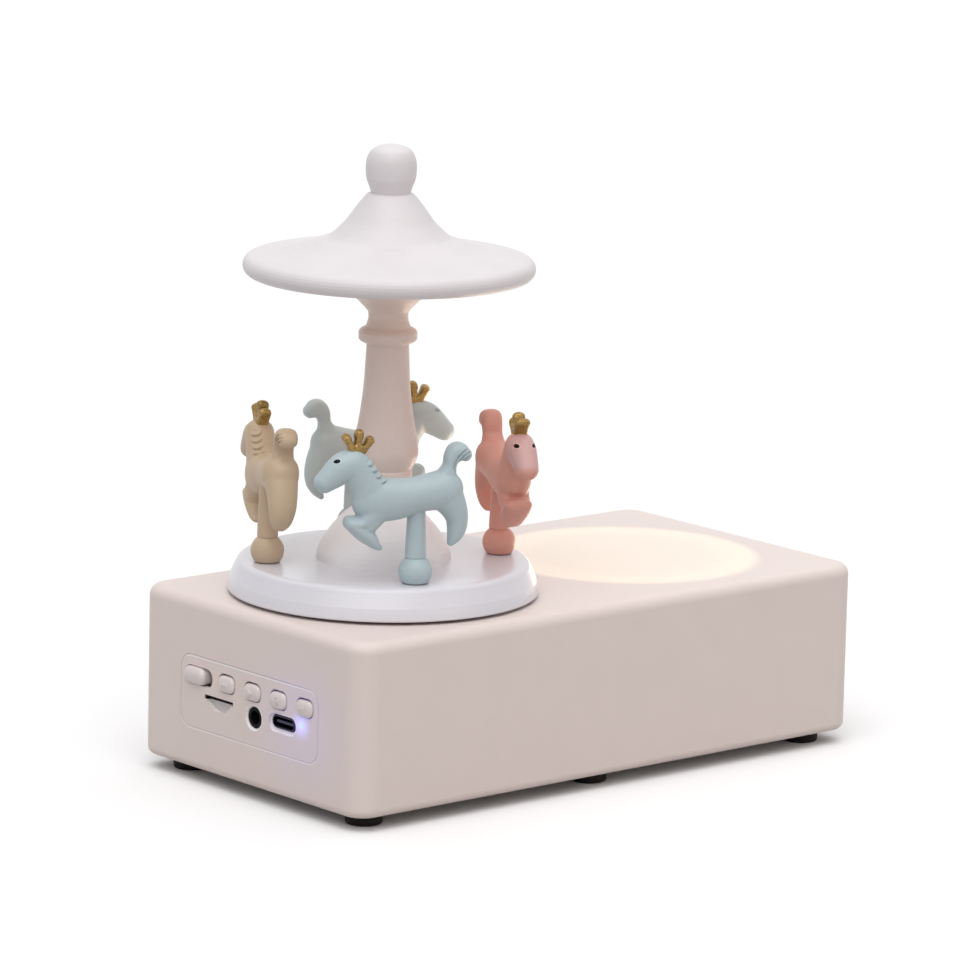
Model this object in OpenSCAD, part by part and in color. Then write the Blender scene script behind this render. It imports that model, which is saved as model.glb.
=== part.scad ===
// Carousel music box: a speaker and night light in a flat base, with a
// motor-driven carousel of four horses on top.
// Z points up and z = 0 is the surface the feet stand on. The origin is
// midway along and across the base, and the control panel faces -X.

/* [Base] */
// Length of the base along X
base_l = 170; // [166:1:176]
// Width of the base along Y
base_w = 90; // [88:1:96]
// Height of the base above its feet
base_h = 45; // [45:0.5:48]
// Wall thickness of the base shell
wall = 2.8; // [2.6:0.1:3]
// Radius of the upright corners
corner_r = 6.5; // [6:0.5:9]
// Radius of the top edges
top_edge_r = 3; // [2:0.5:3.5]
// Radius of the bottom edges
low_edge_r = 2.2; // [1.5:0.1:2.3]

/* [Feet] */
// Height of the rubber feet
foot_h = 2.4; // [2:0.1:3]
// Radius of the rubber feet
foot_r = 4.75; // [4:0.25:5]
// Height of the boss above each rubber foot
foot_boss_h = 1.1; // [0.8:0.1:1.6]
// Distance of the feet from the sides of the base
foot_inset = 10; // [10:0.5:12]

/* [Carousel] */
// Distance of the carousel's axis from the end with the panel
carousel_inset = 44; // [43:0.5:45]
// Gap between the base and the turntable
turntable_gap = 0.8; // [0.6:0.1:1.2]
// Height of the turntable
turntable_h = 8.2; // [8:0.1:9]
// Largest radius of the turntable
turntable_r = 40; // [38:0.5:41]
// Radius of the drive shaft
shaft_r = 3; // [2.5:0.25:3]
// Height of the pillar, from the dome to the canopy
pillar_h = 59; // [59:0.5:62]
// Largest radius of the canopy
canopy_r = 37.3; // [36.5:0.1:38]
// Height of the canopy
canopy_h = 21.5; // [21.5:0.5:24]
// Height of the knob on the canopy
finial_h = 12.5; // [11:0.5:14]

/* [Horses] */
// Distance of the horses' posts from the carousel's axis
horse_ring_r = 30.7; // [30:0.1:31]
// Angle of the first horse about the axis
horse_phase = -114.7; // [-180:0.1:180]
// Radius of the ball at the foot of each post
ball_r = 4.3; // [4:0.1:4.5]
// Radius of the posts
post_r = 2.7; // [2.4:0.1:2.8]
// Height of the top of the posts above the turntable
post_h = 20.6; // [20:0.1:21]

/* [Control panel] */
// Width of the panel insert along Y
panel_w = 55.5; // [54:0.5:58]
// Height of the panel insert
panel_h = 18.8; // [18.5:0.1:20]
// Length of the switch knob
knob_l = 8.3; // [8:0.1:9]
// Travel of the switch knob
knob_travel = 2.5; // [2:0.1:2.5]
// How far the switch knob stands out of the panel
knob_out = 1.4; // [1.2:0.1:2]
// Width of a push button
button_w = 6.4; // [6:0.1:7]
// Height of a push button
button_h = 4.3; // [4:0.1:4.6]
// How far a push button stands out of the panel
button_out = 1; // [0.8:0.1:1.2]
// Travel of a push button
button_travel = 0.5; // [0.3:0.1:0.5]
// Radius of the audio jack's bore
jack_bore_r = 1.8; // [1.78:0.01:1.85]

/* [Gear train] */
// Tooth size of every gear, as pitch diameter over teeth
gear_module = 0.8; // [0.75:0.05:0.8]
// Teeth of the gear on the drive shaft
drive_teeth = 45; // [44:1:45]
// Teeth of the idler's large gear
idler_teeth = 30; // [29:1:31]
// Teeth of the motor pinion and of the idler's small gear
pinion_teeth = 12; // [12:1:13]
// Thickness of a gear
gear_t = 4; // [3.6:0.1:4]

/* [Night light] */
// Distance of the light's middle from the far end of the base
light_inset = 45; // [44:0.5:47]
// Radius of the lit disc
light_r = 35; // [33:0.5:36]
// Thickness of the shell over the light
light_skin = 1.2; // [1:0.1:1.4]

/* [Fits] */
// Radial clearance of a running shaft
running = 0.05; // [0.03:0.01:0.08]
// Clearance around a glued or pressed seat
seat = 0.03; // [0.02:0.01:0.05]
// Clearance around loosely fitted pieces
loose = 0.2; // [0.15:0.05:0.25]
// Gap around the control panel insert
panel_gap = 0.12; // [0.08:0.01:0.2]

/* [Hidden] */
$fn = 64;
faceted_fn = 14;   // sides of the balls that the horses are built from

// Heights of the base
base_z = foot_h + foot_boss_h;
base_top = base_z + base_h;
ceiling_z = base_top - wall;
cover_t = 2.2;
cover_top = base_z + cover_t;
inner_l = base_l - 2 * wall;
inner_w = base_w - 2 * wall;
inner_corner = corner_r - wall;
carousel_x = base_l / 2 - carousel_inset;
light_x = base_l / 2 - light_inset;
foot_x = base_l / 2 - foot_inset;
foot_y = base_w / 2 - foot_inset;

// Fastener sizes
screw_r = 1.25;
screw_head_r = 2.3;
screw_head_h = 1.6;
screw_hole_r = screw_r + seat;
cover_post_r = 3.5;
cover_screw_depth = 9;

// Main board: sockets hang under it, switches stand on it
board_t = 1.2;
board_z = 24.45;
board_top = board_z + board_t;
board_l = 18;
board_w = 2 * (foot_y - cover_post_r - 1.5);
panel_x = -base_l / 2;
panel_back = panel_x + wall;
panel_lip_t = 1.5;
panel_lip = 2;
board_x = panel_back + panel_lip_t + 0.3;
board_screw_y = board_w / 2 - 4;
board_screw_x = board_x + board_l - 3;

// Places on the panel, as [y, z]: the row of buttons hangs from the panel's
// edges, and the sockets hang from the main board
panel_y = -0.75;
panel_z = 24.1;
knob_h = 4.5;
knob_corner = 2.1;
knob_margin = 1.85;
button_margin = 2;
knob_gap = 2.95;
row_drop = 5.15;
row_z = panel_z + panel_h / 2 - row_drop;
knob_at = [panel_y + panel_w / 2 - knob_margin - knob_l / 2, row_z];
first_button_y = knob_at[0] - knob_l / 2 - knob_travel - knob_gap - button_w / 2;
last_button_y = panel_y - panel_w / 2 + button_margin + button_w / 2;
button_pitch = (first_button_y - last_button_y) / 3;
buttons_at = [for (k = [0:3]) [first_button_y - k * button_pitch, row_z]];
usb_mouth = [8.94, 3.26];
jack_at = [-2.85, board_z - 2.55];
usb_at = [-14.4, board_z - usb_mouth[1] / 2 - 0.02];
card_at = [11.45, board_z - 0.85];
led_at = [-21.9, board_z - 0.55];
card_slot = [11.7, 1.1];
card_socket_h = 2;
notch_r = 6.2;
notch_depth = 3.3;
jack_nose_r = 2.65;
led_r = 0.9;
flange_t = 1;
flange_over = 1;
switch_face = panel_back + 3;
switch_tip_r = 0.8;
switch_pocket = 1.6;
lever_w = 1.6;
button_slack = 0.3;   // extra gap above each button

// Heights on the carousel's axis
turntable_z = base_top + turntable_gap;
turntable_top = turntable_z + turntable_h;
turntable_plate = 2.2;
skirt_t = 2.2;
deck_r = turntable_r - 4.1;   // flat part of the deck
deck_edge_r = 2;
hub_r = 8;
hub_z = base_top + 1.9;
peg_r = 1.6;
peg_l = turntable_plate - 0.1;
dome_r = 17.3;
dome_h = 14;
dome_top = turntable_top + dome_h;
shaft_top = dome_top - 5.6;
journal_r = 2;
socket_peg_r = 4;
socket_peg_l = 5.4;
canopy_z = dome_top + pillar_h;
finial_z = canopy_z + canopy_h;
canopy_skin = 2;
canopy_boss_r = 9;
underplate_t = 1.6;
underplate_r = canopy_r - 3;

// Bush and thrust washer
bush_r = 5;
bush_z = base_top - 8.5;
bush_flange_r = 7.5;
bush_flange_t = 1.2;
washer_t = 0.6;

// Gear train: the motor's pinion drives the idler, and the idler the shaft
pitch_drive = gear_module * drive_teeth / 2;
pitch_idler = gear_module * idler_teeth / 2;
pitch_pinion = gear_module * pinion_teeth / 2;
drive_step = pitch_drive + pitch_pinion;
motor_step = pitch_idler + pitch_pinion;
idler_angle = -60;
idler_at = [-carousel_x + drive_step * cos(idler_angle), drive_step * sin(idler_angle)];
motor_at = idler_at + [motor_step, 0];
backlash = 0.3;
pressure_angle = 20;
plate_z = base_top - 26.5;
plate_t = 1.6;
plate_top = plate_z + plate_t;
shaft_low = plate_z - 0.4;
journal_top = plate_top + 1.4;
lower_gear_z = plate_top + 0.8;
upper_gear_z = lower_gear_z + gear_t + 1;
gear_hub_r = 6;
gear_hub_h = 4.4;
pin_r = 1.5;
// one post stands beside the middle foot, the others around the carousel's axis
plate_posts = concat([[-11 - carousel_x, -24], [-10, 3 - foot_y]],
    [for (p = [[20, 20], [-11, 24]]) [p[0] - carousel_x, p[1]]]);
plate_post_r = 3.2;
plate_edge = 2.8;
motor_r = 9;
motor_gap = 2.3;
motor_h = plate_z - cover_top - motor_gap;
motor_boss_r = 3;
motor_shaft_r = 1;

// Battery, speaker and light
battery_x = 14;
battery_r = 9.25;
battery_l = 65;
battery_z = cover_top + 1.2 + battery_r;
speaker_x = 48;
speaker_r = 20;
speaker_z = cover_top + 0.8;
basket_h = 8;
basket_r = 13;
magnet_r = 12;
magnet_h = 4.5;
grille_r = 1.1;
grille_step = 4.2;
light_ceiling = base_top - light_skin;
diffuser_t = 1.4;
light_board_r = 22;
light_board_z = base_top - 11.5;
led_ring_r = 15;
led_size = 2.8;
led_h = 0.8;
light_board_t = 1.2;
reflector_t = 1;

// Horses, as seen from the side: x forward from the post, z up from the turntable
crown_at = [15.7, 33.7];
crown_tilt = -6;

// ---------------------------------------------------------------- outlines

// Points of an arc about [x, y] from angle a to angle b
function arc(x, y, r, a, b, n = 8) =
    [for (i = [0:n]) let (t = a + (b - a) * i / n) [x + r * cos(t), y + r * sin(t)]];

// A smooth curve through the given points, with n steps between two of them
function blend(a, b, c, d, t) =
    0.5 * (2 * b + (c - a) * t + (2 * a - 5 * b + 4 * c - d) * t * t
    + (3 * b - a - 3 * c + d) * t * t * t);
function smooth(p, n = 3) = let (m = len(p) - 1) concat(
    [for (i = [0:m - 1], k = [0:n - 1])
        blend(p[max(i - 1, 0)], p[i], p[i + 1], p[min(i + 2, m)], k / n)], [p[m]]);

module rounded_rect(l, w, r) {
    square([l - 2 * r, w], center = true);
    square([l, w - 2 * r], center = true);
    for (x = [-1, 1], y = [-1, 1]) translate([x * (l / 2 - r), y * (w / 2 - r)]) circle(r);
}

// The last re of a box's height, where its edge is rounded by re
module edge_layer(l, w, rc, re) {
    linear_extrude(re) rounded_rect(l - 2 * re, w - 2 * re, rc - re);
    for (s = [-1, 1]) {
        translate([0, s * (w / 2 - re), 0])
            rotate([0, 90, 0]) cylinder(r = re, h = l - 2 * rc, center = true);
        translate([s * (l / 2 - re), 0, 0])
            rotate([90, 0, 0]) cylinder(r = re, h = w - 2 * rc, center = true);
    }
    for (x = [-1, 1], y = [-1, 1])
        translate([x * (l / 2 - rc), y * (w / 2 - rc), 0])
            rotate_extrude() translate([rc - re, 0]) circle(re);
}

module rounded_box(l, w, h, rc, re_top, re_low) {
    translate([0, 0, re_low]) linear_extrude(h - re_low - re_top) rounded_rect(l, w, rc);
    translate([0, 0, h - re_top]) edge_layer(l, w, rc, re_top);
    translate([0, 0, re_low]) mirror([0, 0, 1]) edge_layer(l, w, rc, re_low);
}

// Puts its children on the panel at p = [y, z]: their z runs along +X from x
module on_panel(p, x) {
    translate([x, p[0], p[1]]) rotate([90, 0, 90]) children();
}

// Repeats its children where the cover screws and the feet are
module at_feet() {
    for (x = [-foot_x, 0, foot_x], y = [-foot_y, foot_y]) translate([x, y, 0]) children();
}

module at_plate_posts() {
    for (p = plate_posts) translate([p[0], p[1], 0]) children();
}

module at_board_screws() {
    for (y = [-board_screw_y, board_screw_y]) translate([board_screw_x, y, 0]) children();
}

module on_axis(z = 0) {
    translate([-carousel_x, 0, z]) children();
}

// A screw whose shank runs up from z = 0, with its head below
module screw_up(shank_l) {
    cylinder(r = screw_r, h = shank_l);
    difference() {
        translate([0, 0, -screw_head_h]) cylinder(r = screw_head_r, h = screw_head_h);
        translate([0, 0, -screw_head_h - 0.1]) linear_extrude(0.8)
            for (a = [0, 90]) rotate(a) square([2.6, 0.6], center = true);
    }
}

// Involute gear: angle of the flank at radius r for the base radius rb
function unwind(rb, r) = r <= rb ? 0 : sqrt(pow(r / rb, 2) - 1) * 180 / PI;
function flank(rb, r) = unwind(rb, r) - atan(unwind(rb, r) * PI / 180);

module gear_outline(teeth, first_tooth) {
    rp = gear_module * teeth / 2;
    rb = rp * cos(pressure_angle);
    tip = rp + 0.9 * gear_module;
    root = rp - 1.2 * gear_module;
    start = max(rb, root);
    half = 90 / teeth - backlash / 4 / rp * 180 / PI + flank(rb, rp);
    side = concat([[root, half]],
        [for (i = [0:3]) let (r = start + (tip - start) * i / 3) [r, half - flank(rb, r)]]);
    polygon([for (k = [0:teeth - 1], s = [-1, 1], i = [0:4])
        let (p = side[s < 0 ? i : 4 - i], a = first_tooth + k * 360 / teeth + s * p[1])
            p[0] * [cos(a), sin(a)]]);
}

// ---------------------------------------------------------------- base

module base_shell() color("white") difference() {
    union() {
        difference() {
            translate([0, 0, base_z])
                rounded_box(base_l, base_w, base_h, corner_r, top_edge_r, low_edge_r);
            translate([0, 0, base_z - 1])
                linear_extrude(base_h - wall + 1) rounded_rect(inner_l, inner_w, inner_corner);
            // thin window over the night light
            translate([light_x, 0, ceiling_z - 1]) cylinder(r = light_r, h = 1 + wall - light_skin);
        }
        on_axis(bush_z) cylinder(r = bush_r + 3.5, h = ceiling_z - bush_z + 0.1);
        translate([0, 0, cover_top]) at_feet()
            cylinder(r = cover_post_r, h = ceiling_z - cover_top + 0.1);
        translate([0, 0, plate_top]) at_plate_posts()
            cylinder(r = plate_post_r, h = ceiling_z - plate_top + 0.1);
        translate([0, 0, board_top]) at_board_screws()
            cylinder(r = plate_post_r, h = ceiling_z - board_top + 0.1);
    }
    on_axis(bush_z - 1) cylinder(r = bush_r + seat, h = base_top - bush_z + 2);
    translate([0, 0, cover_top - 1]) at_feet() cylinder(r = screw_hole_r, h = cover_screw_depth + 1);
    translate([0, 0, plate_top - 1]) at_plate_posts() cylinder(r = screw_hole_r, h = 9);
    translate([0, 0, board_top - 1]) at_board_screws() cylinder(r = screw_hole_r, h = 9);
    // window for the control panel
    on_panel([panel_y, panel_z], panel_x - 1)
        linear_extrude(wall + 2)
            rounded_rect(panel_w + 2 * panel_gap, panel_h + 2 * panel_gap, 4);
}

module panel_openings() {
    on_panel([knob_at[0] - knob_travel / 2, knob_at[1]], panel_x - 1)
        linear_extrude(wall + 2)
            rounded_rect(knob_l + knob_travel + 2 * loose, knob_h + 2 * loose, knob_corner + loose);
    for (p = buttons_at) on_panel(p + [0, button_slack / 2], panel_x - 1)
        linear_extrude(wall + 2)
            rounded_rect(button_w + 2 * loose, button_h + 2 * loose + button_slack, 1.9);
    on_panel(card_at, panel_x - 1)
        linear_extrude(wall + 2) square([card_slot[0], card_slot[1]], center = true);
    // thumb notch under the card slot
    on_panel(card_at, panel_x - 1) linear_extrude(2.4) intersection() {
        translate([0, notch_r - notch_depth]) circle(notch_r);
        translate([0, -notch_r / 2]) square([2 * notch_r, notch_r], center = true);
    }
    on_panel(jack_at, panel_x - 1) cylinder(r = jack_nose_r + loose, h = wall + 2);
    on_panel(jack_at, panel_x) cylinder(r1 = jack_nose_r + 0.6, r2 = jack_nose_r, h = 0.6);
    // shallow ledge around the USB-C socket
    on_panel(usb_at - [0, 0.4], panel_x - 1) linear_extrude(1.7)
        rounded_rect(usb_mouth[0] + 1.8, usb_mouth[1] + 1.6, 2);
    on_panel(usb_at, panel_x - 1) linear_extrude(wall + 2)
        rounded_rect(usb_mouth[0] + 2 * loose, usb_mouth[1] + 2 * loose, 1.6);
    on_panel(led_at, panel_x - 1) cylinder(r = led_r + loose / 2, h = wall + 2);
}

module control_panel() color("white") difference() {
    union() {
        on_panel([panel_y, panel_z], panel_x)
            linear_extrude(wall + 0.1) rounded_rect(panel_w, panel_h, 4 - panel_gap);
        on_panel([panel_y, panel_z], panel_back) linear_extrude(panel_lip_t) difference() {
            rounded_rect(panel_w + 2 * panel_lip, panel_h + 2 * panel_lip, 4);
            rounded_rect(panel_w - 0.8, panel_h - 0.8, 3);
        }
    }
    panel_openings();
}

module bottom_cover() color("gainsboro") difference() {
    union() {
        translate([0, 0, base_z]) linear_extrude(cover_t)
            rounded_rect(inner_l - 2 * loose, inner_w - 2 * loose, inner_corner - loose);
        translate([0, 0, foot_h]) at_feet()
            cylinder(r1 = foot_r + 0.3, r2 = foot_r + 1.2, h = foot_boss_h + 0.1);
        // cradle for the battery
        for (y = [-22, 22]) translate([battery_x, y, cover_top + battery_r * 0.4])
            cube([2 * battery_r + 3, 3, battery_r * 0.8 + 0.2], center = true);
    }
    translate([0, 0, foot_h - 1]) at_feet() {
        cylinder(r = screw_hole_r + loose, h = 9);
        cylinder(r = screw_head_r + loose, h = 1 + screw_head_h);
    }
    translate([battery_x, 0, battery_z]) rotate([90, 0, 0])
        cylinder(r = battery_r + loose / 2, h = battery_l, center = true);
    // speaker grille: a hole in the middle and three rings of holes
    for (ring = [0:3], k = [0:max(6 * ring, 1) - 1])
        let (a = k * 60 / max(ring, 1))
            translate([speaker_x + ring * grille_step * cos(a), ring * grille_step * sin(a), base_z - 1])
                cylinder(r = grille_r, h = cover_t + 2);
}

module rubber_feet() color([0.1, 0.08, 0.08]) at_feet() rotate_extrude()
    polygon(concat([[0, 0]], arc(foot_r - 0.7, 0.7, 0.7, -90, 0, 4), [[foot_r, foot_h], [0, foot_h]]));

module cover_screws() color("silver") translate([0, 0, foot_h + screw_head_h]) at_feet()
    screw_up(cover_screw_depth);

module main_board() color("darkgreen") difference() {
    translate([board_x, -board_w / 2, board_z]) cube([board_l, board_w, board_t]);
    translate([0, 0, board_z - 1]) at_board_screws() cylinder(r = screw_hole_r + loose, h = board_t + 2);
}

module board_chips() color([0.12, 0.12, 0.13]) {
    for (p = [[10.5, -8, 7, 7], [12.5, 4, 4, 5], [12.5, -17, 4, 4]])
        translate([board_x + p[0], p[1], board_top]) cube([p[2], p[3], 1.2]);
    for (y = [12, 17]) translate([board_x + 13.5, y, board_top]) cylinder(r = 1.8, h = 4);
}

module board_screws() color("silver") translate([0, 0, board_z]) at_board_screws() screw_up(7.5);

module usb_c_socket() color("silver") difference() {
    on_panel(usb_at, panel_x + 0.4) linear_extrude(7.4) rounded_rect(usb_mouth[0], usb_mouth[1], 1.6);
    difference() {
        on_panel(usb_at, panel_x - 0.1) linear_extrude(6.4)
            rounded_rect(usb_mouth[0] - 0.6, usb_mouth[1] - 0.6, 1.3);
        on_panel(usb_at, panel_x + 1) linear_extrude(6) square([6.7, 0.7], center = true);
    }
}

module audio_jack() color([0.1, 0.1, 0.11]) difference() {
    union() {
        on_panel(jack_at, panel_x + 0.5) cylinder(r = jack_nose_r, h = board_x - panel_x - 0.5);
        translate([board_x - 0.1, jack_at[0] - 3.2, board_z - 5.3]) cube([10.6, 6.4, 5.3]);
    }
    on_panel(jack_at, panel_x - 1) cylinder(r = jack_bore_r, h = 13.5);
}

module card_socket() color("silver") difference() {
    translate([board_x, card_at[0] - 7, board_z - card_socket_h]) cube([14, 14, card_socket_h]);
    translate([board_x - 1, card_at[0] - card_slot[0] / 2, card_at[1] - card_slot[1] / 2])
        cube([13, card_slot[0], card_slot[1]]);
}

module status_led() color("dodgerblue") {
    on_panel(led_at, panel_x + 0.2) cylinder(r = led_r, h = wall + 1.55);
    translate([panel_back + 1.7, led_at[0] - 1.2, led_at[1] - 1.2])
        cube([3, 2.4, board_z - led_at[1] + 1.2]);
}

module push_switches() color([0.15, 0.15, 0.16]) for (p = buttons_at) difference() {
    translate([switch_face, p[0] - 3, board_top]) cube([4.5, 6, 4.6]);
    on_panel(p, switch_face - 1) cylinder(r = switch_tip_r + 0.3, h = 1 + switch_pocket);
}

module slide_switch() color("silver") difference() {
    translate([switch_face, knob_at[0] - knob_travel / 2 - 4.5, board_top]) cube([5, 9, 4.6]);
    translate([switch_face - 1, knob_at[0] - knob_travel - 1.4, knob_at[1] - 1.2])
        cube([3, knob_travel + 2.8, 2.4]);
}

module battery_cell() color("royalblue") translate([battery_x, battery_l / 2, battery_z])
    rotate([90, 0, 0]) {
        cylinder(r = battery_r, h = battery_l - 1.2);
        translate([0, 0, battery_l - 1.3]) cylinder(r = 3, h = 1.3);
    }

module at_speaker(z) {
    translate([speaker_x, 0, z]) children();
}

module speaker_gasket() color([0.2, 0.2, 0.2]) at_speaker(cover_top) difference() {
    cylinder(r = speaker_r, h = speaker_z - cover_top);
    translate([0, 0, -1]) cylinder(r = speaker_r - 3, h = 3);
}

module speaker_frame() color("silver") at_speaker(speaker_z) rotate_extrude() polygon([
    [speaker_r - 3, 0], [speaker_r, 0], [speaker_r, 1], [speaker_r - 1.6, 1], [basket_r, basket_h],
    [basket_r - 4, basket_h], [basket_r - 4, basket_h - 0.8], [basket_r - 0.4, basket_h - 0.8],
    [speaker_r - 3, 2]]);

module speaker_cone() color([0.13, 0.13, 0.14]) at_speaker(speaker_z) rotate_extrude() polygon(concat(
    [[speaker_r - 3.1, 0.4]], arc(speaker_r - 4.6, 0.4, 1.4, 0, 180, 5),
    [[6, 4.4]], [[0, 5.4], [0, 4.8], [6, 3.8], [speaker_r - 6.1, 0]]));

module speaker_magnet() color([0.25, 0.25, 0.27]) at_speaker(speaker_z + basket_h) {
    cylinder(r = magnet_r, h = magnet_h);
    translate([0, 0, magnet_h - 0.1]) cylinder(r = 0.75 * magnet_r, h = 1.6);
}

// ---------------------------------------------------------------- night light

module at_light(z) {
    translate([light_x, 0, z]) children();
}

module light_diffuser() color([1, 0.96, 0.86]) at_light(light_ceiling - diffuser_t)
    cylinder(r = light_r - loose, h = diffuser_t);

module light_reflector() color("white") at_light(0) rotate_extrude() polygon([
    [light_board_r - 1, light_board_z + light_board_t],
    [light_board_r + 1, light_board_z + light_board_t],
    [light_r + 1.5, ceiling_z - reflector_t], [light_r + 3, ceiling_z - reflector_t],
    [light_r + 3, ceiling_z], [light_r - 0.5, ceiling_z]]);

module light_board() color("white") at_light(light_board_z)
    cylinder(r = light_board_r, h = light_board_t);

module led() {
    translate([0, 0, led_h / 2]) cube([led_size, led_size, led_h], center = true);
}

module light_leds() color("gold") at_light(light_board_z + light_board_t) {
    for (k = [0:7]) rotate(k * 45) translate([led_ring_r, 0, 0]) led();
    led();
}

// ---------------------------------------------------------------- drive

module at_motor(z) {
    translate([motor_at[0], motor_at[1], z]) children();
}

module at_idler(z) {
    translate([idler_at[0], idler_at[1], z]) children();
}

module motor_can() color("silver") at_motor(plate_z - motor_h) difference() {
    union() {
        cylinder(r = motor_r, h = motor_h);
        translate([0, 0, motor_h]) cylinder(r = motor_boss_r, h = plate_t);
    }
    translate([0, 0, motor_h - 5]) cylinder(r = motor_shaft_r + running, h = 10);
}

module gear_plate() color("silver") difference() {
    translate([0, 0, plate_z]) linear_extrude(plate_t) {
        polygon(plate_posts);
        for (k = [0:3])
            let (p = plate_posts[k], q = plate_posts[(k + 1) % 4], d = q - p)
                translate(p) rotate(atan2(d[1], d[0])) translate([0, -plate_edge])
                    square([norm(d), 2 * plate_edge]);
        for (p = plate_posts) translate(p) circle(plate_post_r);
        translate(motor_at) circle(motor_r + 1);
    }
    translate([0, 0, plate_z - 1]) {
        at_plate_posts() cylinder(r = screw_hole_r + loose, h = plate_t + 2);
        on_axis() cylinder(r = journal_r + running, h = plate_t + 2);
        translate(motor_at) cylinder(r = motor_boss_r + seat, h = plate_t + 2);
        translate(idler_at) cylinder(r = pin_r, h = plate_t + 2);
    }
}

module plate_screws() color("silver") translate([0, 0, plate_z]) at_plate_posts() screw_up(8);

module idler_pin() color("silver") at_idler(plate_z) difference() {
    cylinder(r = pin_r, h = upper_gear_z + gear_t + 2.4 - plate_z);
    translate([0, 0, upper_gear_z + gear_t + 0.8 - plate_z]) difference() {
        cylinder(r = pin_r + 1, h = 0.7);
        translate([0, 0, -1]) cylinder(r = pin_r - 0.4, h = 3);
    }
}

// A flat spring clip with one open side
module clip(inner, outer, t) {
    difference() {
        cylinder(r = outer, h = t);
        translate([0, 0, -1]) cylinder(r = inner, h = t + 2);
        translate([0, -inner * 0.8, -1]) cube([outer + 1, inner * 1.6, t + 2]);
    }
}

module idler_clip() color([0.3, 0.3, 0.32]) at_idler(upper_gear_z + gear_t + 0.85)
    clip(pin_r - 0.38, pin_r + 1.3, 0.6);

module turntable_bush() color("ivory") on_axis(bush_z) difference() {
    union() {
        cylinder(r = bush_r, h = base_top - bush_z);
        translate([0, 0, base_top - bush_z]) cylinder(r = bush_flange_r, h = bush_flange_t);
    }
    translate([0, 0, -1]) cylinder(r = shaft_r + running, h = 20);
}

module thrust_washer() color("ivory") on_axis(base_top + bush_flange_t) difference() {
    cylinder(r = bush_flange_r - 0.3, h = washer_t);
    translate([0, 0, -1]) cylinder(r = shaft_r + 0.3, h = washer_t + 2);
}

module drive_shaft() color("silver") on_axis(shaft_low) difference() {
    union() {
        cylinder(r = journal_r, h = journal_top - shaft_low + 0.1);
        translate([0, 0, journal_top - shaft_low]) cylinder(r = shaft_r, h = shaft_top - journal_top);
    }
    translate([0, 0, upper_gear_z - 1 - shaft_low]) difference() {
        cylinder(r = shaft_r + 1, h = 0.8);
        translate([0, 0, -1]) cylinder(r = shaft_r - 0.6, h = 3);
    }
}

module shaft_clip() color([0.3, 0.3, 0.32]) on_axis(upper_gear_z - 0.9)
    clip(shaft_r - 0.58, shaft_r + 2, 0.6);

module drive_gear() color("ivory") on_axis(upper_gear_z) difference() {
    union() {
        linear_extrude(gear_t) gear_outline(drive_teeth, idler_angle);
        translate([0, 0, gear_t - 0.1]) cylinder(r = gear_hub_r, h = gear_hub_h + 0.1);
    }
    translate([0, 0, -1]) cylinder(r = shaft_r + seat, h = 20);
    for (k = [0:4]) rotate(k * 72) translate([(gear_hub_r + pitch_drive) / 2, 0, -1])
        cylinder(r = 3.4, h = 20);
}

module idler_gear() color("ivory") at_idler(lower_gear_z) difference() {
    union() {
        linear_extrude(gear_t) gear_outline(idler_teeth, 0);
        translate([0, 0, gear_t - 0.1])
            linear_extrude(upper_gear_z - lower_gear_z + 0.1)
                gear_outline(pinion_teeth, idler_angle + 180 + 180 / pinion_teeth);
    }
    translate([0, 0, -1]) cylinder(r = pin_r + running, h = 20);
}

module motor_pinion() color("goldenrod") at_motor(lower_gear_z) difference() {
    linear_extrude(gear_t) gear_outline(pinion_teeth, 180 + 180 / pinion_teeth);
    translate([0, 0, -1]) cylinder(r = motor_shaft_r, h = 20);
}

module motor_shaft() color("silver") at_motor(plate_z - 4)
    cylinder(r = motor_shaft_r, h = lower_gear_z + gear_t - plate_z + 4);

// ---------------------------------------------------------------- carousel

function horse_angle(k) = horse_phase + 90 * k;

// Repeats its children at horse k's post: x points the way the horse runs
module at_horse(k) {
    on_axis(turntable_top) rotate(horse_angle(k)) translate([horse_ring_r, 0, 0])
        rotate(-90) children();
}

module turntable() color([0.96, 0.95, 0.97]) difference() {
    on_axis() rotate_extrude() polygon(concat(
        [[0, hub_z], [hub_r, hub_z], [hub_r, turntable_top - turntable_plate],
        [deck_r - 0.6, turntable_top - turntable_plate],
        [turntable_r - skirt_t, turntable_z], [turntable_r - 0.5, turntable_z]],
        arc(turntable_r - 0.5, turntable_z + 0.5, 0.5, -60, 0, 2),
        smooth([[turntable_r - 0.1, turntable_z + 1.2],
        [turntable_r - 0.6, turntable_z + 0.4 * turntable_h],
        [deck_r + 1.04 * deck_edge_r, turntable_top - 0.88 * deck_edge_r]], 2),
        arc(deck_r, turntable_top - deck_edge_r, deck_edge_r, 25, 90, 5),
        [[0, turntable_top]]));
    on_axis(hub_z - 1) cylinder(r = shaft_r + seat, h = 20);
    for (k = [0:3]) at_horse(k) translate([0, 0, -5]) cylinder(r = peg_r + seat, h = 10);
}

module centre_dome() color([0.95, 0.93, 0.93]) on_axis(turntable_top) difference() {
    rotate_extrude() polygon(concat([[0, 0]], smooth([
        [dome_r, 0], [0.97 * dome_r, 0.2 * dome_h], [0.83 * dome_r, 0.5 * dome_h],
        [0.64 * dome_r, 0.78 * dome_h], [0.5 * dome_r, 0.92 * dome_h], [0.42 * dome_r, dome_h]]),
        [[0, dome_h]]));
    translate([0, 0, -1]) cylinder(r = shaft_r + seat, h = shaft_top - turntable_top + 1.1);
    translate([0, 0, dome_h - socket_peg_l - 0.1]) cylinder(r = socket_peg_r + seat, h = 10);
    // hollow under the dome
    translate([0, 0, -1]) difference() {
        cylinder(r = 13, h = 5);
        translate([0, 0, -1]) cylinder(r = 6, h = 8);
    }
}

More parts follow.
